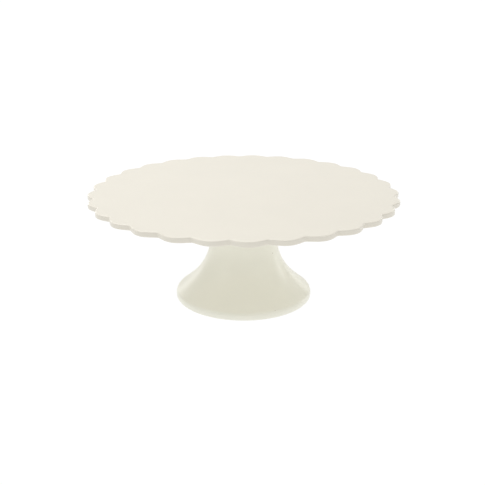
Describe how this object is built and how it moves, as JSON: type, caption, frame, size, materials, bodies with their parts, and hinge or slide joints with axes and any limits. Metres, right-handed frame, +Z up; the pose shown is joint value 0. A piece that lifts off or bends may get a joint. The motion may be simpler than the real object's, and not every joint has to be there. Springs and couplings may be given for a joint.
{
  "type": "cake stand",
  "caption": "Footed cake stand: a thin flat plate with a scalloped rim, clamped on a hollow flared pedestal by a bolt with a hand knob.",
  "frame": {"origin": "on the stand's upright axis, at the surface it stands on", "axes": "+Z up along the pedestal's axis; one lobe of the plate is centred on -Y, the side the stand is seen from, and +X is to the right"},
  "size_m": [0.2796, 0.2792, 0.1013],
  "materials": {
    "cream_moulding": "satin",
    "knob_moulding": "satin",
    "silicone": "matte",
    "insert_brass": "satin",
    "zinc_steel": "satin"
  },
  "bodies": {
    "pedestal": {"pedestal_shell": "cream_moulding", "seat_gasket": "silicone", "foot_ring": "silicone"},
    "plate": {"scalloped_plate": "cream_moulding", "threaded_insert": "insert_brass"},
    "washers": {"soft_washer": "silicone", "flat_washer": "zinc_steel"},
    "screw": {"clamp_bolt": "zinc_steel", "thumb_knob": "knob_moulding"}
  },
  "joints": [
    {"name": "plate_lift", "type": "slide", "parent": "pedestal", "child": "plate", "axis": [0, 0, 1], "range_m": [0, 0.06]},
    {"name": "clamp_travel", "type": "slide", "parent": "pedestal", "child": "washers", "axis": [0, 0, -1], "range_m": [0, 0.00688]},
    {"name": "clamp_turn", "type": "hinge", "parent": "washers", "child": "screw", "pos_m": [0, 0, 0.0806], "axis": [0, 0, -1], "range_deg": [0, 1980.1]}
  ],
  "couplings": [
    {"joint": "clamp_turn", "follows": "clamp_travel", "rad_per_m": 5026.5}
  ]
}
